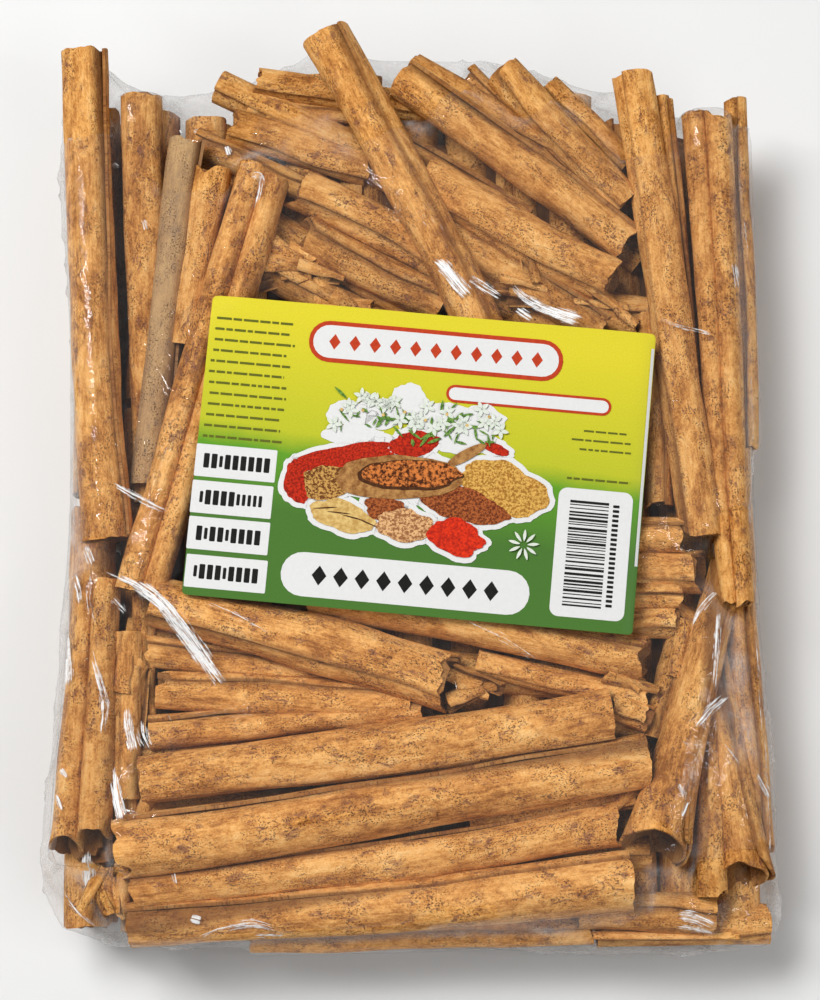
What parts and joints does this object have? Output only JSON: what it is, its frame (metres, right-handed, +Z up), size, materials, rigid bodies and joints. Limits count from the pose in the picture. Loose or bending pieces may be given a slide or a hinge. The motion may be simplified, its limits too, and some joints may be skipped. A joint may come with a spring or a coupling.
{
  "type": "bag of cinnamon sticks",
  "caption": "Sealed clear bag packed tight with rolled cinnamon bark sticks, lying flat, with a yellow and green paper label stuck across its face.",
  "frame": {"origin": "middle of the bag's box, on the surface it lies on", "axes": "+Y from the bag's foot to its head, along its length; +Z up, the way the label faces"},
  "size_m": [0.2264, 0.2874, 0.0527],
  "materials": {
    "cinnamon_bark": "dry rolled bark, matt, speckled, under a clear film",
    "label_paper": "glossy printed sticker, yellow fading to green"
  },
  "bodies": {
    "root": {"bag": "cinnamon_bark", "label": "label_paper"}
  },
  "joints": []
}
